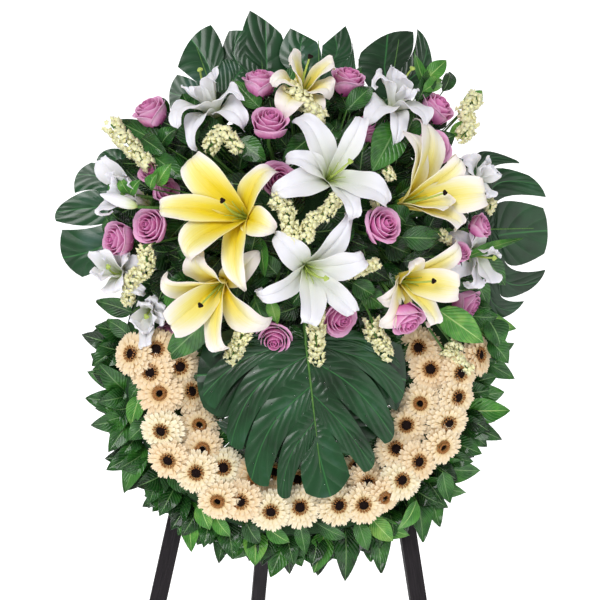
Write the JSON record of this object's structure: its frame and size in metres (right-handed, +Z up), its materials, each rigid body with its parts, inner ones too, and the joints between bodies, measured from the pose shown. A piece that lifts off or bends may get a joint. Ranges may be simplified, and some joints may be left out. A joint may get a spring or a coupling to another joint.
{
  "type": "funeral wreath on an easel",
  "caption": "Standing funeral wreath: a flower-covered foam ring with a raised spray of lilies and roses, hung on a folding three-legged wooden easel",
  "frame": {"origin": "on the floor, under the middle of the whole wreath and easel", "axes": "+Z up, -Y the side the flowers face, +X to the viewer's right"},
  "size_m": [0.8568, 0.7758, 1.6954],
  "materials": {
    "black_wood": "matte",
    "hinge_steel": "satin",
    "tie_wire": "satin",
    "tray": "satin",
    "wet_foam": "matte",
    "gerbera_petal": "matte",
    "yellow_lily_petal": "satin",
    "white_lily_petal": "satin",
    "rose_petal": "matte",
    "statice_floret": "matte",
    "monstera_leaf": "satin",
    "foliage_leaf": "satin"
  },
  "bodies": {
    "stand": {"collar_sprig_left": "foliage_leaf", "collar_sprig_lower_left": "foliage_leaf", "collar_sprig_lower_right": "foliage_leaf", "collar_sprig_right": "foliage_leaf", "foam_ring": "wet_foam", "front_leg_left": "black_wood", "front_leg_right": "black_wood", "gerberas_bottom": "gerbera_petal", "gerberas_bottom_left": "gerbera_petal", "gerberas_left": "gerbera_petal", "gerberas_lower_left": "gerbera_petal", "gerberas_lower_right": "gerbera_petal", "gerberas_right": "gerbera_petal", "gerberas_upper_left": "gerbera_petal", "gerberas_upper_right": "gerbera_petal", "head_block": "black_wood", "hinge_leaf_fixed": "hinge_steel", "hinge_pin": "hinge_steel", "lower_rail": "black_wood", "monstera_behind": "monstera_leaf", "monstera_left": "monstera_leaf", "monstera_middle": "monstera_leaf", "monstera_right": "monstera_leaf", "monstera_top": "monstera_leaf", "monstera_top_left": "monstera_leaf", "monstera_top_right": "monstera_leaf", "monstera_upper_left": "monstera_leaf", "ring_peg_left": "black_wood", "ring_peg_right": "black_wood", "ring_tray": "tray", "rose_far_left": "rose_petal", "rose_far_right": "rose_petal", "rose_left": "rose_petal", "rose_lower_middle": "rose_petal", "rose_lower_right": "rose_petal", "rose_middle_right": "rose_petal", "rose_top_middle": "rose_petal", "rose_under_lily": "rose_petal", "rose_upper_left": "rose_petal", "rose_upper_right": "rose_petal", "spray_foam": "wet_foam", "statice_hanging_middle": "statice_floret", "statice_hanging_right": "statice_floret", "tie_wire_left": "tie_wire", "tie_wire_right": "tie_wire", "upper_rail": "black_wood", "white_lily_left": "white_lily_petal", "white_lily_lower_left": "white_lily_petal", "white_lily_middle": "white_lily_petal", "white_lily_right": "white_lily_petal", "white_lily_top": "white_lily_petal", "white_lily_upper_left": "white_lily_petal", "white_lily_upper_right": "white_lily_petal", "yellow_lily_left": "yellow_lily_petal", "yellow_lily_lower_left": "yellow_lily_petal", "yellow_lily_lower_right": "yellow_lily_petal", "yellow_lily_right": "yellow_lily_petal", "yellow_lily_top": "yellow_lily_petal"},
    "rear_leg": {"rear_leg": "black_wood", "hinge_leaf_moving": "hinge_steel"}
  },
  "joints": [
    {"name": "rear_leg_fold", "type": "hinge", "parent": "stand", "child": "rear_leg", "pos_m": [-0.00755, -0.01882, 1.52663], "axis": [-1, 0, 0], "range_deg": [0, 26]}
  ]
}
